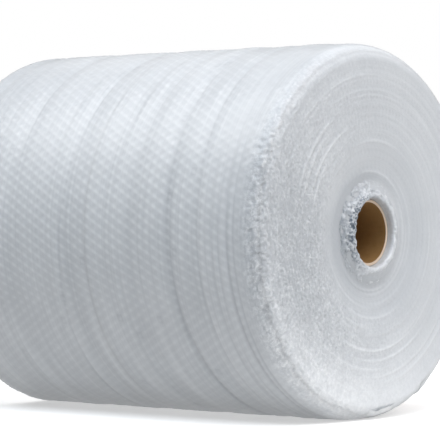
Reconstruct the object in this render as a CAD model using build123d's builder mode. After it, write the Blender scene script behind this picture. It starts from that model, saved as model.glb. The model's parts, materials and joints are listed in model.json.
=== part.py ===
"""Roll of bubble wrap: bubble film wound on a cardboard core, lying on its side.

Frame: the roll's axis runs along X at its own height above the surface it lies on.
The origin is the middle of its footprint, +Z is up, and sizes are in millimetres.
"""

from build123d import *
import math
import os

# Wound film: one solid, because its turns lie tight on each other.
film_width = 500.0  # end to end, where the edges of the turns bulge out most
roll_diameter = 435.0
shoulder_length = 30.0  # along the axis, where the outer turns round over at each end
shoulder_drop = 20.0  # across the radius, over the same rounding
flat_width = 72.0  # flat spot that the roll's own weight presses into the soft turns

# Dish and collar in each end of the film, counted outwards from the core.
collar_width = 8.0  # across the radius, from the core's outside to the collar's crest
dish_fall_width = 16.0  # from the crest out to the lowest line of the dish
dish_rise_width = 53.0  # from the lowest line out to where the end face is flat
dish_depth = 6.0
collar_crest_radius = 3.0
dish_floor_radius = 14.0
dish_rim_radius = 60.0

# Cardboard core: a plain wound tube, open from end to end.
core_bore = 70.0
core_wall = 3.0
core_recess = 8.0  # each end of the core lies this far inside the film's end
core_clearance = 0.3  # radial gap between the core and the first turn

# Sizes that follow from them.
roll_radius = roll_diameter / 2
film_end = film_width / 2
core_outer_radius = core_bore / 2 + core_wall
core_length = film_width - 2 * core_recess
film_bore_radius = core_outer_radius + core_clearance
collar_radius = core_outer_radius + collar_width
dish_radius = collar_radius + dish_fall_width
flat_radius = dish_radius + dish_rise_width
axis_height = math.sqrt(roll_radius**2 - (flat_width / 2) ** 2)

roll_axis = Axis((0, 0, axis_height), (1, 0, 0))
length_plane = Plane(origin=(0, 0, axis_height), x_dir=(1, 0, 0), z_dir=(0, -1, 0))
middle_plane = Plane(origin=(0, 0, axis_height), x_dir=(0, 1, 0), z_dir=(1, 0, 0))
floor_plane = Plane.XY

os.makedirs("parts", exist_ok=True)


# Core tube: a ring drawn across the axis and drawn out both ways from the middle.
with BuildPart() as core_tube:
    with BuildSketch(middle_plane):
        Circle(core_outer_radius)
        Circle(core_bore / 2, mode=Mode.SUBTRACT)
    extrude(amount=core_length / 2, both=True)

core_tube.part.label = "core_tube"
export_step(core_tube.part, "parts/core_tube.step")


# Wound film: half of its section, mirrored, turned about the axis, and pressed flat below.
with BuildPart() as film_roll:
    with BuildSketch(length_plane):
        with BuildLine():
            core_mouth = (film_end - core_recess, film_bore_radius)
            end_face = FilletPolyline(
                (film_end, roll_radius - shoulder_drop),
                (film_end, flat_radius),
                (film_end - dish_depth, dish_radius),
                (film_end, collar_radius),
                core_mouth,
                radius=[dish_rim_radius, dish_floor_radius, collar_crest_radius],
            )
            shoulder = EllipticalCenterArc(
                (film_end - shoulder_length, roll_radius - shoulder_drop),
                shoulder_length,
                shoulder_drop,
                start_angle=0,
                arc_size=90,
            )
            Line(shoulder @ 1, (0, roll_radius))
            Line(core_mouth, (0, film_bore_radius))
            mirror(about=Plane.YZ)
        make_face()
    revolve(axis=roll_axis)
    split(bisect_by=floor_plane, keep=Keep.TOP)

film_roll.part.label = "film_roll"
export_step(film_roll.part, "parts/film_roll.step")
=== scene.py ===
# %% [markdown]
# # A roll of bubble wrap, lying on its side
#
# Bubble wrap is two thin films of clear polyethylene, one flat and one drawn into
# rows of round bubbles and welded to it. Fifty metres of it wound on a cardboard
# tube stops looking clear: light is thrown about between some sixty turns until the
# roll is milky white, and only the last turn still shows what it is made of.
#
# The frame holds two solids, the core tube and the wound film. The core keeps its
# solid and gets a finish. The film's plain solid is replaced by surfaces worked out
# here: the last turn with its bubbles and its free end, the two ends of the roll,
# where the film's edges show, and a crumpled collar round the core at each end.

# %% Load the fixed frame
import bpy
import json
import math
import numpy as np
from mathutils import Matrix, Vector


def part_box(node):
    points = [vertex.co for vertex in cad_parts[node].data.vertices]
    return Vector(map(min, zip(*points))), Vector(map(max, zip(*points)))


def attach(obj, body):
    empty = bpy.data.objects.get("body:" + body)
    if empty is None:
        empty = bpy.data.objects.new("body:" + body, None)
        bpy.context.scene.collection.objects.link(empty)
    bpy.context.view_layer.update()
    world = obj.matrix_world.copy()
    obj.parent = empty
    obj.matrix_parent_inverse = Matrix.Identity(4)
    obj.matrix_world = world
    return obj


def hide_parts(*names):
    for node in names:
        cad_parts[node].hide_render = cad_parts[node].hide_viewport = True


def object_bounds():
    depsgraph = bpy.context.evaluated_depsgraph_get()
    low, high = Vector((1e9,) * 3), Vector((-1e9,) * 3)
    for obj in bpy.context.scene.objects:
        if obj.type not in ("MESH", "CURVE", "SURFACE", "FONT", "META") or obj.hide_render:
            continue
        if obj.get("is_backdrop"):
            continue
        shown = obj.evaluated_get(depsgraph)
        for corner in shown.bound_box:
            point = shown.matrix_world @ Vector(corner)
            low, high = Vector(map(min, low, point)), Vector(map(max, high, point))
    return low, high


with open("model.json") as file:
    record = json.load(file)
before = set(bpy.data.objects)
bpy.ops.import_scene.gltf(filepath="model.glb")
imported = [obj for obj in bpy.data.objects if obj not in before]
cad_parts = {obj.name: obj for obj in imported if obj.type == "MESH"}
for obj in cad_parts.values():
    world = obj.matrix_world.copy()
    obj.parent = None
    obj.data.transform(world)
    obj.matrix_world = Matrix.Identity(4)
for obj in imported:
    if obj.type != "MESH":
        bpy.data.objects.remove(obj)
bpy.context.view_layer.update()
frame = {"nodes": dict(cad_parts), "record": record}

# %% [markdown]
# ## Sizes
#
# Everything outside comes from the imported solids: the film's box gives its width and
# radius, and the bore mount gives the height of the axis. What only the looks need,
# such as the pitch of the bubbles, is named here once. All sizes are in metres.

# %% Sizes read from the frame
film_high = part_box("film_roll")[1]
core_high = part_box("core_tube")[1]
bore = next(m for m in frame["record"]["mounts"] if m["name"] == "core_bore")
axis_height = bore["pos_m"][2]
film_end = film_high.x
roll_radius = film_high.z - axis_height
core_end = core_high.x
core_radius = core_high.z - axis_height
print("film ends at", round(film_end, 4), "and is", round(roll_radius, 4), "in radius")
print("core ends at", round(core_end, 4), "and is", round(core_radius, 4), "in radius")

# %% Sizes of the film
full_turn = 2 * math.pi
bubble_pitch = 0.0114
bubble_radius = 0.0049
bubble_height = 0.00035
turn_count = 60
shoulder_length = 0.030
shoulder_drop = 0.020
collar_radius = core_radius + 0.008
dish_radius = collar_radius + 0.016
flat_radius = dish_radius + 0.053
dish_depth = 0.006
tail_angle = math.radians(-62)  # where the film's free end lies, low on the back
film_step = 0.0027  # one turn's thickness, which is the step at the free end
bubbles_round = int(round(full_turn * roll_radius / bubble_pitch))
column_pitch = bubble_pitch * math.sqrt(3) / 2
row_pitch = full_turn * roll_radius / bubbles_round
columns_across = 51
film_half_width = columns_across / 2 * column_pitch
print(bubbles_round, "bubbles round,", round(2 * film_half_width, 4), "m of film across")

# %% [markdown]
# ## Mesh helpers
#
# Each surface is a grid of points worked out with numpy as one array, so the only
# thing left for Blender is to take the points and the faces between them. Further
# arrays ride along as attributes, one number for each point, which a material reads
# later, for example to know how crumpled the film is there.


# %% Grid and mesh helpers
def grid_faces(rows, cols, closed=False):
    """Corner numbers of a grid's quads, row after row. A closed grid joins its last column to its first."""
    last = cols if closed else cols - 1
    row, col = np.meshgrid(np.arange(rows - 1), np.arange(last), indexing="ij")
    beside = (col + 1) % cols
    corners = (row * cols + col, row * cols + beside, (row + 1) * cols + beside, (row + 1) * cols + col)
    return np.stack(corners, -1).reshape(-1, 4)


def add_piece(name, points, faces, material, **fields):
    """A piece of film on the roll's body, from its points and faces, with one attribute for each field."""
    mesh = bpy.data.meshes.new(name)
    corners = faces.shape[1]
    mesh.vertices.add(points.size // 3)
    mesh.vertices.foreach_set("co", np.ascontiguousarray(points, np.float32).ravel())
    mesh.loops.add(faces.size)
    mesh.loops.foreach_set("vertex_index", np.ascontiguousarray(faces, np.int32).ravel())
    mesh.polygons.add(len(faces))
    mesh.polygons.foreach_set("loop_start", np.arange(0, faces.size, corners, dtype=np.int32))
    mesh.polygons.foreach_set("use_smooth", np.ones(len(faces), bool))
    for field, values in fields.items():
        layer = mesh.attributes.new(field, "FLOAT", "POINT")
        layer.data.foreach_set("value", np.ascontiguousarray(values, np.float32).ravel())
    mesh.update(calc_edges=True)
    mesh.validate()
    mesh.materials.append(material)
    piece = bpy.data.objects.new(name, mesh)
    bpy.context.scene.collection.objects.link(piece)
    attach(piece, "root")
    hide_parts("film_roll")
    print(name, len(faces) * (corners - 2), "triangles")


# %% [markdown]
# ## The shape that every turn follows
#
# The roll is a drum with soft shoulders. Its profile runs straight along the axis and
# then round a quarter of an ellipse at each end. All that lies on the last turn is
# placed by three numbers: the way along this profile from the middle, the angle about
# the axis, and the lift outwards. Below, the roll's weight presses it flat, so heights
# near the floor are squeezed together instead of being cut.

# %% Profile of the roll
quarter = np.linspace(0, math.pi / 2, 200)
profile_x = np.append(0, film_end - shoulder_length * (1 - np.sin(quarter)))
profile_r = np.append(roll_radius, roll_radius - shoulder_drop * (1 - np.cos(quarter)))
profile_way = np.append(0, np.cumsum(np.hypot(np.diff(profile_x), np.diff(profile_r))))
normal_x = np.append(0, np.sin(quarter) / shoulder_length)
normal_r = np.append(1, np.cos(quarter) / shoulder_drop)
normal_length = np.hypot(normal_x, normal_r)
squeeze = 0.0025  # height under which the film is pressed together
print("profile", round(profile_way[-1], 4), "m long to each side")


def place(x, radius, angle):
    """Points at x and radius. A height z under squeeze becomes squeeze * exp(z / squeeze - 1)."""
    z = axis_height + radius * np.sin(angle)
    pressed = squeeze * np.exp(np.minimum(z, squeeze) / squeeze - 1)
    return np.stack(np.broadcast_arrays(x, radius * np.cos(angle), np.where(z < squeeze, pressed, z)), -1)


def on_roll(way, angle, lift):
    """Points on the last turn: the profile's point at way, moved by lift along its normal, then turned."""

    def read(values):
        return np.interp(np.abs(way), profile_way, values)

    x = read(profile_x) + lift * read(normal_x / normal_length)
    r = read(profile_r) + lift * read(normal_r / normal_length)
    return place(np.sign(way) * x, r, angle)


# %% [markdown]
# ## Soft random values and soft zones
#
# Film never lies quite even. Most of its small dents come from one tool, a table of
# random numbers read with smooth steps between its entries, at whatever scale a dent
# needs. The tables have fixed seeds, so the roll is the same each time it is built.
#
# Where something happens is said by three more curves, each from 0 to 1: a ramp, a
# bell, and a zone round the roll that faces one way. Angles go about the axis, with
# 0 degrees at the back, 90 on top, 180 at the front and 270 on the floor.


# %% Noise
def noise_1d(x, seed):
    """Soft random values from -1 to 1, a new one at each whole x, joined by the smooth step 3t^2 - 2t^3."""
    table = np.random.default_rng(seed).uniform(-1, 1, 4096)
    low = np.floor(x).astype(int)
    t = x - low
    t = t * t * (3 - 2 * t)
    return table[low % 4096] * (1 - t) + table[(low + 1) % 4096] * t


def noise_2d(x, y, seed):
    """Soft random values from -1 to 1 over a plane, a new one at each whole x and y, with smooth steps."""
    table = np.random.default_rng(seed).uniform(-1, 1, (256, 256))
    i, j = np.floor(x).astype(int), np.floor(y).astype(int)
    s, t = x - i, y - j
    s, t = s * s * (3 - 2 * s), t * t * (3 - 2 * t)
    near = table[i % 256, j % 256] * (1 - s) + table[(i + 1) % 256, j % 256] * s
    far = table[i % 256, (j + 1) % 256] * (1 - s) + table[(i + 1) % 256, (j + 1) % 256] * s
    return near * (1 - t) + far * t


def crumple(x, y, size, seed):
    """Crushed film: noise of this size, its places bent by coarser noise, folded at zero into ridges."""
    bend_x = x + 0.7 * size * noise_2d(x / size / 1.7, y / size / 1.7, seed)
    bend_y = y + 0.7 * size * noise_2d(x / size / 1.7, y / size / 1.7, seed + 1)
    coarse = 1 - 2 * np.abs(noise_2d(bend_x / size, bend_y / size, seed + 2))
    fine = 1 - 2 * np.abs(noise_2d(bend_x / size * 2.3, bend_y / size * 2.3, seed + 3))
    return 0.65 * coarse + 0.35 * fine


# %% Soft zones
def ramp(x, start, end):
    """0 before start, 1 after end, and a smooth step between them."""
    t = np.clip((x - start) / (end - start), 0, 1)
    return t * t * (3 - 2 * t)


def inward(way, start, end):
    """A ramp towards the film's edge: 0 further in than start, 1 from end on, both from the edge."""
    return ramp(np.abs(way), film_half_width - start, film_half_width - end)


def bell(distance, width):
    """A bell curve, exp(-(distance / width)^2)."""
    return np.exp(-((distance / width) ** 2))


def facing(angle, degrees, power):
    """1 on the side of the roll at these degrees and 0 opposite: (1/2 + cosine / 2) to this power."""
    return (0.5 + 0.5 * np.cos(angle - math.radians(degrees))) ** power


# %% [markdown]
# ## Creases and soft waves
#
# The film was wound under tension, so it is drawn into narrow creases that run round
# the roll, and between them the surface swells a little. A crease is a dent with the
# section of a bell curve, and its place wanders along the axis as it goes round. It
# is sharpest and deepest low on the front, and wide and shallow over the top.

# %% Creases and swells
CREASES = [  # place along the roll, wander round it, half width, depth, how much of it is left on top
    (-0.2050, 0.004, 0.0020, 0.0008, 0.2),
    (-0.1420, -0.006, 0.0030, 0.0007, 0.2),
    (-0.0395, -0.014, 0.0016, 0.0014, 0.2),
    (0.0450, 0.008, 0.0020, 0.0005, 0.3),
    (0.1230, 0.010, 0.0040, 0.0022, 0.3),
    (0.1645, 0.007, 0.0018, 0.0013, 0.2),
    (0.1850, 0.006, 0.0026, 0.0010, 0.2),
    (0.1945, 0.004, 0.0014, 0.0011, 0.1),
    (0.2065, 0.005, 0.0017, 0.0018, 0.15),
    (0.2155, 0.003, 0.0013, 0.0011, 0.1),
]
SWELLS = [(0.085, 0.00045, 0.4), (0.047, 0.00030, 2.1), (0.031, 0.00018, 4.0)]  # length, height, phase
print(len(CREASES), "creases and", len(SWELLS), "waves along the roll")


def creases(way, angle):
    """Depth of all creases: the sum of their bells, each times its depth, deepest low on the front."""
    low = facing(angle, 243, 2.5)
    wide = 1.8 - 0.8 * low
    depths = 0 * way
    for at, wander, width, depth, top in CREASES:
        distance = way - at + wander * np.sin(angle)
        depths = depths + depth * (top + (1 - top) * low) * bell(distance, width * wide)
    return depths


def swells(way, angle):
    """Low waves along the roll, each a sine that shifts a little as it goes round."""
    return sum(height * np.sin(full_turn * way / length + phase + 0.6 * np.sin(angle + phase))
               for length, height, phase in SWELLS)


# %% [markdown]
# ## The bubbles and the crumpled edge
#
# The bubbles lie in columns round the roll, and each column is shifted by half a
# pitch against the next, which packs them like a honeycomb. Wound up tight they bulge
# only slightly, and a few have lost their air. They could be thousands of domes set
# on a plain drum, but each dome would then end in a hard rim. So they are part of the
# height of one surface, as the creases and waves are.
#
# The film is a little wider than the straight part of the drum. Its edges bend down
# round the roll's shoulders, where they were crushed, and most of all on one side.

# %% The lattice of bubbles
rng = np.random.default_rng(7)
fill = rng.normal(1, 0.12, (64, bubbles_round))
fill[rng.random(fill.shape) < 0.012] = 0.25
print(int((fill == 0.25).sum()), "of", fill.size, "bubbles have lost their air")


def bubbles(way, arc):
    """Height of the bubbles, (1 - d^2)^2 at d radii from the nearest one, times its fill, and that fill."""
    column = np.floor(way / column_pitch)
    row = arc / row_pitch + 0.5 * (column % 2)
    across = way - (column + 0.5) * column_pitch
    around = (row - np.round(row)) * row_pitch
    far = np.clip(np.hypot(across, around) / bubble_radius, 0, 1)
    full = fill[(column % 64).astype(int), (np.round(row) % bubbles_round).astype(int)]
    return full * (1 - far ** 2) ** 2, full


# %% Zones round the roll
def crushed(angle):
    """How crushed the film's edges are: most at the front, a little below the middle, least opposite."""
    return 0.12 + 0.88 * facing(angle, 195, 2.5)


def drawn(angle):
    """Which way the bubbles are drawn out, as the film lies a bit askew: it turns over at 203 degrees."""
    return -0.8 * np.tanh((np.degrees(angle) % 360 - 203) / 8)


def painted_side_shade(angle):
    """Painted shade on the ends and the crumpled edge, greyest a little below the front."""
    return facing(angle, 188, 7)


# %% Height of the last turn
def edge_crumple(way, turned):
    """Crumpled shoulder, by the way along the profile and the share of a turn from the free end."""
    angle = tail_angle + full_turn * turned
    rough = crumple(turned * full_turn * roll_radius, way, 0.0052, 3)
    return 0.0014 * rough * crushed(angle)


def last_turn_lift(way, angle):
    """Swells, bubbles and crumpled edge, minus creases, the sunk edge, and one film step in a turn."""
    turned = (angle - tail_angle) / full_turn
    arc = turned * full_turn * roll_radius
    edge = inward(way, 0.036, 0.010)
    sink = inward(way, 0.020, 0)
    tuck = inward(way, 0.011, -0.003)
    body = swells(way, angle) - creases(way, angle) + bubble_height * bubbles(way, arc)[0] * (1 - edge)
    rough = edge_crumple(np.abs(way), turned) * edge
    return 0.0008 - film_step * turned + body * (1 - sink) + rough - 0.0004 * sink - 0.0012 * tuck


# %% [markdown]
# ## Shader helpers
#
# A material is a tree of nodes, and its maths reads best as an expression. The first
# class below wraps a node's output so that + - * / build Math nodes. The second holds
# the tree, and its one method node adds any other node from its type, its settings
# and its inputs, which are numbers, colours or other nodes.


# %% Shader helpers
class Value:
    """A node's output that adds Math nodes when it is used in an expression."""

    def __init__(self, finish, socket):
        self.finish, self.socket = finish, socket

    def math(self, operation, *others):
        """A Math node of this operation on the value and the others."""
        inputs = dict(enumerate((self, *others)))
        return self.finish.node("ShaderNodeMath", {"operation": operation}, inputs)

    def __add__(self, other):
        return self.math("ADD", other)

    def __sub__(self, other):
        return self.math("SUBTRACT", other)

    def __mul__(self, other):
        return self.math("MULTIPLY", other)

    def __truediv__(self, other):
        return self.math("DIVIDE", other)

    def __rsub__(self, other):
        return self.finish.node("ShaderNodeMath", {"operation": "SUBTRACT"}, {0: other, 1: self})

    def clamped(self):
        """The value, kept from 0 to 1."""
        return self.math("MAXIMUM", 0.0).math("MINIMUM", 1.0)

    __radd__, __rmul__ = __add__, __mul__


class Finish:
    """The node tree of a material or of the world, under construction."""

    def __init__(self, owner):
        self.owner = owner
        owner.use_nodes = True
        self.tree = owner.node_tree
        self.tree.nodes.clear()

    def node(self, kind, settings=None, inputs=None, output=0):
        """Adds a node of this kind, sets it up, feeds its inputs, and gives one output or a few."""
        made = self.tree.nodes.new(kind)
        for key, value in (settings or {}).items():
            setattr(made, key, value)
        for key, value in (inputs or {}).items():
            if isinstance(value, Value):
                self.tree.links.new(value.socket, made.inputs[key])
            elif isinstance(value, tuple) and made.inputs[key].type == "RGBA":
                made.inputs[key].default_value = (*value, 1)
            else:
                made.inputs[key].default_value = value
        if isinstance(output, tuple):
            return tuple(Value(self, made.outputs[key]) for key in output)
        return Value(self, made.outputs[output]) if made.outputs else None

    def place(self):
        """Object coordinates, in metres."""
        return self.node("ShaderNodeTexCoord", output="Object")

    def place_xyz(self):
        """Object coordinates as three values."""
        return self.node("ShaderNodeSeparateXYZ", inputs={"Vector": self.place()}, output=("X", "Y", "Z"))

    def fields(self, *names):
        """The numbers that the mesh carries under these names."""
        return [self.node("ShaderNodeAttribute", {"attribute_name": name}, output="Fac") for name in names]

    def noise(self, place, scale, detail=2.0, roughness=0.5, output="Fac"):
        """Soft random values about one half, in patches of about 1 / scale metres."""
        inputs = {"Vector": place, "Scale": scale, "Detail": detail, "Roughness": roughness}
        return self.node("ShaderNodeTexNoise", {}, inputs, output)

    def cells(self, feature, place, scale):
        """Voronoi cells of about 1 / scale metres: their F1 distance, or the distance to their edge."""
        inputs = {"Vector": place, "Scale": scale}
        return self.node("ShaderNodeTexVoronoi", {"feature": feature}, inputs, "Distance")

    def mix(self, share, first, second):
        """A colour between first, at share 0, and second, at share 1."""
        return self.node("ShaderNodeMix", {"data_type": "RGBA"}, {0: share, 6: first, 7: second}, 2)

    def bump(self, height, strength, distance):
        """A normal tilted by this height."""
        inputs = {"Strength": strength, "Distance": distance, "Height": height}
        return self.node("ShaderNodeBump", {}, inputs)

    def surface(self, **inputs):
        """Ends the tree with a Principled shader. Underscores in its inputs' names stand for spaces."""
        named = {key.replace("_", " "): value for key, value in inputs.items()}
        shader = self.node("ShaderNodeBsdfPrincipled", {}, named)
        self.node("ShaderNodeOutputMaterial", {}, {"Surface": shader})
        print(self.owner.name, "has", len(self.tree.nodes), "nodes")
        return self.owner


# %% [markdown]
# ## The finish of the film
#
# Many clear layers scatter light as snow does, so the film's body is a milky plastic
# with subsurface scattering and a thin gloss on top. It could be made of clear shells
# laid over each other, but sixty of them take very long to render, and all that the
# eye gets from them is their white sum.
#
# A bubble shows as a light spot, partly because two films lie apart there and partly as a painted
# highlight, and the weld between the bubbles is a little greyer. The turn underneath shows through with its
# own, fainter spots. Where the film is crumpled, the edges of Voronoi cells, bent by noise and broken up,
# are painted as short light lines, painted highlights on sharp folds.


# %% Film finish
WHITE_FILM = (0.88, 0.905, 0.93)
GREY_FILM = (0.485, 0.512, 0.543)
DARK_FILM = (0.30, 0.33, 0.37)
# Painted shade for the gaps between the collar's folds.
FILM_GAP_SHADE = (0.10, 0.13, 0.17)


def spots(way, arc, lean, shift):
    """The honeycomb of bubbles: a sum of three cosines, drawn out by lean and sharpened by its square."""
    along = way / column_pitch + (shift - 0.5)
    around = arc / bubble_pitch
    first = (along * full_turn).math("COSINE")
    second = ((around - along * 0.5) * full_turn).math("COSINE")
    third = ((around + along * 0.5) * full_turn).math("COSINE")
    lift = (first * 0.4 + second * (1 + lean) + third * (1 - lean)) / 2.4
    return lift * (lift * 0.45 + 0.55)


def film_finish(name):
    """Milky film: way and arc are places on it, dots says where bubbles show, bright is its tone."""
    finish = Finish(bpy.data.materials.new(name))
    spot = finish.place()
    way, arc, dots, lean, crush, bright = finish.fields("way", "arc", "dots", "lean", "crush", "bright")
    along = finish.node("ShaderNodeCombineXYZ", {}, {0: way * 330, 1: arc * 5})
    streaks = finish.noise(along, 1.0, 3)
    patches = finish.noise(spot, 13, 3)
    blotches = finish.noise(spot, 60, 2)
    folds = finish.noise(spot, 240, 3, 0.6)
    grain = finish.cells("F1", spot, 330)
    bend = finish.noise(spot, 130, 1, output="Color")
    reach = (0.007, 0.007, 0.007)
    bent = finish.node("ShaderNodeVectorMath", {"operation": "MULTIPLY_ADD"}, {0: bend, 1: reach, 2: spot})
    # Painted highlights: thin light lines along bent cell edges, where the film folds sharply.
    ridges = 1 - finish.cells("DISTANCE_TO_EDGE", bent, 190) * 8
    broken = (folds * 0.7 + blotches * 0.3 - 0.44) * 9
    painted_fold_strokes = ridges.math("MAXIMUM", 0.0) * broken.clamped()
    top_turn = spots(way, arc, lean, 0.0)
    turn_below = spots(way, arc * 0.986, lean, 0.37)
    # Bubble spots: partly their own lightness, partly a painted highlight.
    tone = bright + (top_turn * 0.36 + turn_below * 0.08) * dots
    tone = tone + (patches - 0.5) * 0.30 + (streaks - 0.5) * 0.34
    # Where crumpled: random folds and blotches, and the painted highlight lines.
    tone = tone + ((folds - 0.5) * 1.0 + (blotches - 0.5) * 0.7 + painted_fold_strokes * 0.36 - 0.03) * crush
    height = streaks * 0.35 + folds * (crush * 1.6 + 0.15) + grain * crush * 0.8
    return finish.surface(
        Base_Color=finish.mix(tone, GREY_FILM, WHITE_FILM),
        Roughness=0.36 + (patches - 0.5) * 0.2,
        Subsurface_Weight=0.6,
        Subsurface_Radius=(1.0, 1.0, 1.0),
        Subsurface_Scale=0.008,
        IOR=1.5,
        Coat_Weight=0.3,
        Coat_Roughness=0.15,
        Sheen_Weight=0.12,
        Sheen_Roughness=0.4,
        Normal=finish.bump(height, 0.35, 0.0008),
    )


wound_film = film_finish("wound_film")


# %% Collar finish
def collar_finish(name):
    """Crushed film at the core: painted shade in the gaps between its folds, where the gap attribute is
    high.
    """
    finish = Finish(bpy.data.materials.new(name))
    spot = finish.place()
    speckle, bright, crush = finish.fields("speckle", "bright", "crush")
    folds = finish.noise(spot, 230, 3, 0.65)
    gaps = finish.noise(spot, 330, 2, 0.6)
    # Painted shade: the gaps between the folds are painted dark.
    painted_gaps = ((gaps - 0.66 + speckle * 0.20) * 14).clamped() * speckle
    film = finish.mix(bright + (folds - 0.5) * crush * 1.2, DARK_FILM, WHITE_FILM)
    return finish.surface(
        Base_Color=finish.mix(painted_gaps, film, FILM_GAP_SHADE),
        Roughness=0.25 + folds * 0.2,
        Subsurface_Weight=0.4,
        Subsurface_Radius=(1.0, 1.0, 1.0),
        Subsurface_Scale=0.005,
        IOR=1.5,
        Coat_Weight=0.4,
        Coat_Roughness=0.1,
        Normal=finish.bump(folds, 0.4, 0.0008),
    )


collar_film = collar_finish("collar_film")

# %% [markdown]
# ## The last turn
#
# One grid carries the film, its bubbles, creases and edge, with five steps to a column
# of bubbles and six to a bubble on the way round, so that every bubble is drawn by the
# same points and the film between them has no joint. It is built in two halves, each
# under 200,000 triangles, which meet in the middle of the roll.
#
# The free end lies low on the back. There the grid starts with a small riser, so that
# the step down to the turn below is closed, and the corner of the film curls up a
# little. Low on the near rim a short piece of the edge has come loose and stands off.
#
# An attribute called bright carries the tone, and painted light and shade with it: swells and crumpled
# folds that stand out are painted lighter, creases get painted shade, and the edge, the far top and the low
# front get painted light and shade of their own.

# %% Steps of the grid
across_steps, round_steps = 5, 6  # to a column of bubbles, and to a bubble
grid_step = column_pitch / across_steps
edge_steps = int(round((film_half_width + 0.003) / grid_step))
turn_steps = bubbles_round * round_steps
turn_angles = tail_angle + np.append(0, np.arange(turn_steps + 1) * full_turn / turn_steps)
print(edge_steps, "steps from the middle to the edge,", turn_steps, "steps round")

# %% Tone of the last turn, with its painted light and shade
# Painted light and shade by height: swells and folds lighter, creases darker, for each metre.
swell_highlight, crease_shade, fold_highlight = 60, 130, 80  # lighter or darker for a metre of height


def last_turn_tone(way, angle, arc, shown, loose):
    """Tone: uneven bubbles, with painted light and shade by height, side, low rim, far top, and glinting
    streaks.
    """
    top, full = bubbles(way, arc)
    # Painted highlight on the swells, painted shade in the creases.
    flat = swell_highlight * swells(way, angle) - crease_shade * creases(way, angle)
    flat = flat + 0.2 * (full - 1) * (top > 0)
    # Painted highlight on the crumpled folds that stand out.
    folds = fold_highlight * edge_crumple(np.abs(way), arc / (full_turn * roll_radius))
    # On the crumpled edge: painted shade on the front side, painted light low on the rim.
    edge = folds - 0.10 - 0.36 * painted_side_shade(angle) + 0.42 * facing(angle, 250, 4)
    # Painted shade: the top of the far half is painted dimmer.
    painted_far_top_shade = 0.25 * ramp(-way, 0.06, 0.24) * facing(angle, 100, 3)
    # Painted glinting streaks low on the front.
    painted_glints = np.maximum(noise_2d(way / 0.009, arc / 0.14, 41), 0) * facing(angle, 230, 14)
    # The loose piece of edge gets a painted highlight.
    return 0.5 + shown * (flat + 0.24 * painted_glints) + (1 - shown) * edge + 0.4 * loose - painted_far_top_shade


# %% The last turn's surface
def last_turn(name, side):
    """Half of the last turn, from the middle to the edge: its lift, a curled corner and a ragged rim."""
    ways = side * np.arange(edge_steps + 1) * grid_step
    way, angle = np.meshgrid(ways, turn_angles, indexing="ij")
    arc = (angle - tail_angle) * roll_radius
    around = np.degrees(angle) % 360
    near = way > 0
    curl = near * inward(way, 0.050, 0) * (1 - ramp(arc, 0.002, 0.034))
    loose = near * inward(way, 0.012, 0) * ramp(around, 267, 272) * (1 - ramp(around, 279, 285))
    lift = last_turn_lift(way, angle) + 0.0012 * curl + 0.0045 * loose
    lift[:, 0] = last_turn_lift(way[:, -1], angle[:, -1]) - 0.001  # the riser starts on the turn below
    ragged = 0.0014 * noise_1d(arc / 0.016, 5) + 0.0007 * noise_1d(arc / 0.0045, 6)
    shifted = way + side * ragged * inward(way, 0.014, 0)
    shown = 1 - inward(way, 0.034, 0.009)
    clear = 0.20 + 0.80 * bell(around - 172, 30)
    smooth = 0.8 * inward(way, 0.095, 0.045) * facing(angle, 105, 2)
    add_piece(
        name, on_roll(shifted, angle, lift), grid_faces(*way.shape)[:, ::-side], wound_film,
        way=way, arc=arc, dots=shown * clear * (1 - smooth), lean=drawn(angle),
        crush=(1 - shown) * crushed(angle), bright=last_turn_tone(way, angle, arc, shown, loose),
    )


for side, name in ((1, "last_turn_near"), (-1, "last_turn_far")):
    last_turn(name, side)

# %% [markdown]
# ## The ends of the roll
#
# Seen from the end, the roll is the edge of one long film wound in a spiral. The grid
# follows that spiral: a strip as wide as one turn is thick winds from the core to the
# outside, and its outer side uses the same points as the inner side of the next turn,
# so the surface has no seams. Every turn stands out or lies back a little, the bubbles
# scallop its edge, and on one side the edges are crushed into fine crinkles. Towards
# the rim the strip takes on the crumple of the last turn, so the two meet flush.


# %% Spiral strip
turn_pitch = (roll_radius - core_radius) / turn_count
print("one turn is", round(turn_pitch * 1000, 2), "mm thick")


def spiral_faces(turns, steps, lanes):
    """Quads of a spiral strip, steps points a turn. Its last lane ends on the next turn's first row."""
    step, lane = np.meshgrid(np.arange(turns * steps), np.arange(lanes), indexing="ij")

    def point(step, lane):
        return np.where(lane < lanes, step * lanes + lane, (step + steps) * lanes)

    corners = (point(step, lane), point(step + 1, lane), point(step + 1, lane + 1), point(step, lane + 1))
    return np.stack(corners, -1).reshape(-1, 4)


def end_profile(radius):
    """Place of the end along the axis: flat, less a hollow of two half cosines and a round shoulder."""
    fall = np.clip((radius - collar_radius) / (dish_radius - collar_radius), 0, 1)
    rise = np.clip((radius - dish_radius) / (flat_radius - dish_radius), 0, 1)
    hollow = dish_depth * (0.5 - 0.5 * np.cos(math.pi * fall)) * (0.5 + 0.5 * np.cos(math.pi * rise))
    over = np.clip((radius - roll_radius + shoulder_drop) / shoulder_drop, 0, 1)
    return film_end - hollow - shoulder_length * (1 - np.sqrt(1 - over ** 2))


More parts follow.
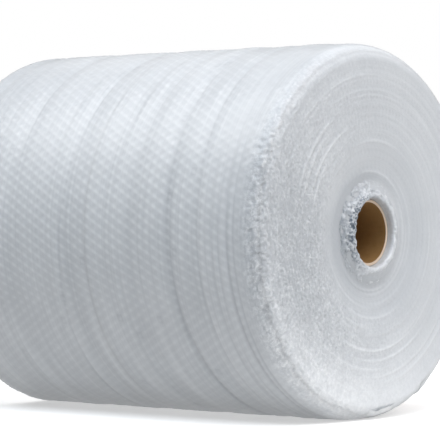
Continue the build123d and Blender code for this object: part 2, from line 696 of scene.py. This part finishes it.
# %% Turns that stand out
ARCS = [  # turns whose edge stands out over part of the way round: radius, first and last angle, height
    (0.150, 115, 168, 0.0018),
    (0.141, 122, 172, 0.0013),
    (0.128, 112, 160, 0.0020),
    (0.120, 132, 179, 0.0014),
    (0.135, -120, -60, 0.0014),
    (0.131, -98, -40, 0.0009),
    (0.147, -110, -45, 0.0010),
    (0.156, -130, -75, 0.0009),
    (0.098, -128, -55, 0.0012),
    (0.109, -140, -85, 0.0009),
    (0.165, -100, -30, 0.0010),
    (0.174, -85, -20, 0.0008),
    (0.105, 60, 110, 0.0008),
    (0.086, -170, -100, 0.0010),
    (0.160, 20, 75, 0.0009),
    (0.112, -40, 15, 0.0008),
    (0.180, 80, 140, 0.0009),
    (0.066, -150, -60, 0.0011),
    (0.071, -110, 10, 0.0010),
    (0.065, -60, 40, 0.0009),
    (0.077, -40, 60, 0.0007),
    (0.070, 30, 110, 0.0009),
    (0.083, -100, -20, 0.0009),
]
print(len(ARCS), "turns stand out of each end")


def standing_turns(radius, angle):
    """Height of the turns that stand out: a bell across each, fading over 18 degrees at its ends."""
    degrees = np.degrees(np.arctan2(np.sin(angle), np.cos(angle)))
    height = 0 * radius
    for at, first, last, rise in ARCS:
        shown = np.clip(np.minimum(degrees - first, last - degrees) / 18, 0, 1)
        height = height + rise * shown * bell(radius - at, 0.0014)
    return height


# %% Relief and tone of an end
def end_relief(turn, angle, lane, radius, crush, seed):
    """Height of the strip: uneven turns scalloped by bubbles, crumples, and the last turn's at the rim."""
    arc = radius * angle
    crest = np.cos(full_turn * (lane - 0.5))
    uneven = 0.00018 * noise_1d(turn * 1.7, seed) + 0.00012 * noise_1d(turn * 7, seed + 1)
    scallop = 0.00010 * np.cos(full_turn * arc / bubble_pitch + 2.4 * turn)
    own = uneven + (0.00006 + scallop) * crest * (1 - 0.7 * crush)
    folds = 0.0017 * crush * crumple(arc, radius, 0.0056, seed + 2)
    way = np.interp(-radius, -profile_r[1:], profile_way[1:])
    way = way + np.maximum(roll_radius - shoulder_drop - radius, 0)
    turned = (angle - tail_angle) % full_turn / full_turn
    shared = ramp(radius, roll_radius - 0.036, roll_radius - 0.016)
    return (own + folds) * (1 - shared) + edge_crumple(way, turned) * shared


def end_tone(radius, angle, relief):
    """Tone of an end: painted highlights where it stands out and low at the rim, painted shade at the side,
    in the hollow and round the core.
    """
    # Painted shade on the front side, in the hollow and round the core; painted light low on the rim and
    # where the end stands out.
    end_side_shade = 0.40 * painted_side_shade(angle) * ramp(radius, 0.060, 0.150)
    hollow = 0.6 * bell(radius - dish_radius + 0.003, 0.013) * facing(angle, 162.8, 1.5)
    painted_rim_light = 0.42 * ramp(radius, 0.140, 0.200) * facing(angle, 250, 4)
    painted_core_shade = 0.24 * (1 - ramp(radius, 0.070, 0.140)) * (0.1 + 0.9 * facing(angle, -70, 1))
    return 0.34 + 110 * relief - end_side_shade - hollow + painted_rim_light - painted_core_shade


# %% Points of an end
def end_points(radius, angle, height, side):
    """Points on one end: its profile, moved along its normal by height, less what the last turn covers."""
    turned = (angle - tail_angle) % full_turn / full_turn
    under_last_turn = 0.0002 + film_step * turned * (1 - ramp(turned, 0.88, 1.0))
    trench = 0.003 * ramp(radius, roll_radius - 0.0026, roll_radius - 0.0014)
    height = height - ramp(radius, 0.160, 0.207) * under_last_turn - trench
    over = np.clip((radius - roll_radius + shoulder_drop) / shoulder_drop, 0, 0.999)
    slope = shoulder_length / shoulder_drop * over / np.sqrt(1 - over ** 2)
    tilt = np.sqrt(1 + slope ** 2)
    return place(side * (end_profile(radius) + height / tilt), radius + height * slope / tilt, angle)


def end_face(name, side, turns, steps, lanes):
    """The spiral end of the roll: radius grows by one turn_pitch a turn, and by one across the lanes."""
    step, lane = np.meshgrid(np.arange((turns + 1) * steps), np.arange(lanes) / lanes, indexing="ij")
    turn = 1 + step / steps
    angle = tail_angle + full_turn * step / steps
    radius = core_radius + 0.0004 + turn_pitch * (turn + lane)
    arc = radius * angle
    seed = 11 if side > 0 else 31
    uneven = 0.75 + 0.35 * noise_2d(arc / 0.022, radius / 0.018, seed + 7)
    crush = crushed(angle) * ramp(radius, 0.070, 0.120) * uneven
    relief = end_relief(turn, angle, lane, radius, crush, seed)
    standing = standing_turns(radius, angle)
    points = end_points(radius, angle, relief + 0.6 * standing, side)
    # Turns that stand out get a painted highlight in their tone.
    bright = end_tone(radius, angle, relief + 1.5 * standing)
    add_piece(name, points, spiral_faces(turns, steps, lanes)[:, ::-side], wound_film,
              way=radius, arc=arc, dots=0 * arc, lean=0 * arc, crush=crush, bright=bright)


for side, name in ((1, "end_near"), (-1, "end_far")):
    end_face(name, side, turn_count - 2, 840, 2)

# %% [markdown]
# ## The collar
#
# Where the film was slit and taped to the tube, the first turns are crushed into a
# ragged ring that stands a little out of the hollow round the bore. A profile is
# carried round the axis, from just inside the tube's end, out over a crest and down
# into the hollow, and it is crumpled on the way. The crest is highest at the front.

# %% Collar profile
COLLAR_R = np.array([0.0385, 0.0386, 0.0390, 0.0402, 0.0425, 0.0455, 0.0490, 0.0535, 0.0580, 0.0620])
COLLAR_X = np.array([-0.0115, -0.0080, -0.0020, 0.0014, 0.0024, 0.0018, -0.0002, -0.0032, -0.0058, -0.0082])
collar_way = np.append(0, np.cumsum(np.hypot(np.diff(COLLAR_R), np.diff(COLLAR_X))))
crest_way = 0.019
print("collar profile", round(collar_way[-1], 4), "m long, with its crest at", crest_way)


# %% Collar surface
def collar_points(way, angle, side, seed):
    """Points and tone of the crumpled ring: its profile at way, crest raised in front, then crumpled, with
    painted shade.
    """
    r = np.interp(way, collar_way, COLLAR_R)
    x = np.interp(way, collar_way, COLLAR_X)
    arc = 0.045 * angle
    crest = bell(way - crest_way, 0.009)
    high = facing(angle, 165.676, 1.3)
    loose = ramp(way, 0.006, 0.014) * (1 - ramp(way, 0.036, collar_way[-1]))
    relief = crumple(arc * 0.5, way, 0.0045, seed + 1)
    x = x + crest * (0.0016 * high - 0.0020 * (1 - high) + 0.0009 * noise_1d(arc / 0.009, seed))
    x = x + loose * (0.0009 + 0.0011 * high) * relief
    r = r + loose * (0.0005 + 0.0009 * high) * crumple(way + 0.3, arc, 0.0048, seed + 5)
    r = r - crest * 0.0006 * high
    # Painted shade in front and at the foot of the ring, painted highlight on crumples that stand out.
    painted_foot_shade = 0.20 * high * ramp(r, 0.050, 0.058)
    bright = 0.56 - 0.34 * high + 0.22 * relief * loose - painted_foot_shade
    return place(side * (film_end + x), r, angle), high, bright


for side, name, seed in ((1, "collar_near", 50), (-1, "collar_far", 70)):
    ways = np.linspace(0, collar_way[-1], 34)
    way, angle = np.meshgrid(ways, np.arange(360) * full_turn / 360, indexing="ij")
    points, high, bright = collar_points(way, angle, side, seed)
    add_piece(name, points, grid_faces(*way.shape, closed=True)[:, ::-side], collar_film,
              speckle=high ** 2 * bell(way - crest_way, 0.010), crush=0.3 + 0.7 * high, bright=bright)

# %% [markdown]
# ## The core
#
# The core is a tube of brown kraft board, made by winding strips of paper in a helix
# and gluing them. It keeps its solid and gets a finish: brown board with a faint
# helical seam inside, and a pale cut edge where the plies show. The seam needs no
# geometry of its own, because it is only a line: the share of a turn plus the way
# along the axis in pitches, and the line is where their sum is half way to a whole.


# %% Core finish
BOARD_DARK, BOARD_LIGHT = (0.27, 0.145, 0.045), (0.40, 0.235, 0.095)
BOARD_SEAM, BOARD_CUT = (0.16, 0.08, 0.03), (0.72, 0.58, 0.45)
helix_pitch = 0.11


def board_finish(name):
    """Kraft board with fibres, a helical seam and a pale cut edge."""
    finish = Finish(bpy.data.materials.new(name))
    fibres = finish.noise(finish.place(), 160, 4, 0.6)
    x, y, z = finish.place_xyz()
    turned = (z - axis_height).math("ARCTAN2", y) / full_turn
    helix = (x / helix_pitch + turned).math("FRACT")
    seam = (helix - 0.5).math("ABSOLUTE").math("LESS_THAN", 0.006)
    cut = x.math("ABSOLUTE").math("GREATER_THAN", core_end - 0.0006)
    board = finish.mix(fibres * 0.9, BOARD_DARK, BOARD_LIGHT)
    board = finish.mix(seam * 0.5, board, BOARD_SEAM)
    return finish.surface(
        Base_Color=finish.mix(cut, board, BOARD_CUT),
        Roughness=0.62,
        Normal=finish.bump(fibres, 0.3, 0.0004),
    )


core = frame["nodes"]["core_tube"]
core.data.materials.clear()
core.data.materials.append(board_finish("core_board"))
print("core faces", len(core.data.polygons))

# %% [markdown]
# ## The floor
#
# The roll lies on a plain white sweep. A white floor throws light back up, far more
# beside and in front of the roll than under it. Seen by the camera the floor is plain,
# and its shadows are soft. Seen by every other ray it glows faintly in three patches,
# which work like the white boards that light the underside of goods in a studio.


# %% Floor
def floor_finish(name):
    """White to the camera, and a faint glow to other rays: beside the roll, beyond its end, by its rim."""
    finish = Finish(bpy.data.materials.new(name))
    seen = finish.node("ShaderNodeLightPath", output="Is Camera Ray")
    x, y = finish.place_xyz()[:2]
    side = y.math("ABSOLUTE")
    beside = x.math("ABSOLUTE").math("LESS_THAN", 0.70) * side.math("LESS_THAN", 0.55)
    beyond = x.math("GREATER_THAN", 0.70) * x.math("LESS_THAN", 3.0)
    close = (x - 0.38).math("ABSOLUTE").math("LESS_THAN", 0.12) * side.math("LESS_THAN", 0.30)
    glow = beside * 0.30 + beyond * 0.31 + close * 0.25
    return finish.surface(
        Base_Color=finish.mix(seen, (0.35, 0.35, 0.35), (0.95, 0.95, 0.95)),
        Roughness=0.9,
        Specular_IOR_Level=0.0,
        Emission_Color=finish.mix(seen, glow, (0.34, 0.335, 0.33)),
        Emission_Strength=1.0,
    )


bpy.ops.mesh.primitive_plane_add(size=12, location=(0, 0, 0))
floor = bpy.context.object
floor.name = "floor"
floor.data.materials.append(floor_finish("floor_white"))
floor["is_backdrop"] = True

# %% [markdown]
# ## The surroundings and the light
#
# The surroundings are a white tent: the camera sees white, gloss reflects a dimmer
# white, and the tent itself lights nothing. All the light comes from wide suns, each
# like a large soft lamp. The strongest stand high in front, on the left and on the
# right, and beyond the near end. Weak ones behind keep the back from going grey.
# An azimuth of 0 is light from the front, 90 from the near end, 180 from the back.

# %% World
tent = Finish(bpy.data.worlds.new("tent"))
seen, mirrored = tent.node("ShaderNodeLightPath", output=("Is Camera Ray", "Is Glossy Ray"))
backdrop = tent.node("ShaderNodeBackground", {}, {"Color": (1, 1, 1), "Strength": mirrored * 0.4 + seen})
tent.node("ShaderNodeOutputWorld", {}, {"Surface": backdrop})
bpy.context.scene.world = tent.owner

# %% Lights
WHITE_LIGHT = (1.0, 1.0, 1.0)
LIGHTS = [  # azimuth, elevation, strength, colour
    (-50, 60, 1.30, WHITE_LIGHT),
    (-50, 35, 0.24, WHITE_LIGHT),
    (-110, 30, 0.13, WHITE_LIGHT),
    (39, 60, 1.02, (0.86, 1.02, 1.14)),
    (90, 62, 0.80, (1.08, 0.97, 0.99)),
    (90, 35, 0.98, (1.04, 1.00, 0.94)),
    (90, 8, 0.28, WHITE_LIGHT),
    (140, 25, 0.26, WHITE_LIGHT),
    (180, 45, 0.40, WHITE_LIGHT),
]
for azimuth, elevation, strength, colour in LIGHTS:
    light = bpy.data.lights.new("soft_light", "SUN")
    light.energy = strength
    light.color = colour
    light.angle = math.radians(50)
    lamp = bpy.data.objects.new("soft_light", light)
    lamp.rotation_euler = (math.radians(90 - elevation), 0, math.radians(azimuth))
    bpy.context.scene.collection.objects.link(lamp)
print(len(LIGHTS), "soft suns")

# %% [markdown]
# ## The camera
#
# The camera stands low between the front and the near end, at the height of the axis.
# A long lens brings the roll close, so that its lines run together only a little.

# %% Camera
camera = bpy.data.cameras.new("camera")
camera.lens = 197.3
camera.sensor_width = 36
eye = bpy.data.objects.new("camera", camera)
eye.location = (1.8438, -2.2504, 0.2408)
aim = (0.01434, 0.01167, 0.22831)
look = np.subtract(aim, eye.location)
distance = np.linalg.norm(look)
eye.rotation_euler = (math.acos(-look[2] / distance), 0, math.atan2(-look[0], look[1]))
bpy.context.scene.collection.objects.link(eye)
bpy.context.scene.camera = eye
bpy.context.scene.view_settings.view_transform = "Standard"
print("camera", round(float(distance), 3), "m from its aim")

# %% Print the shown box
low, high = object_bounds()
print("shown box in metres:", [round(v, 4) for v in (*low, *high)])
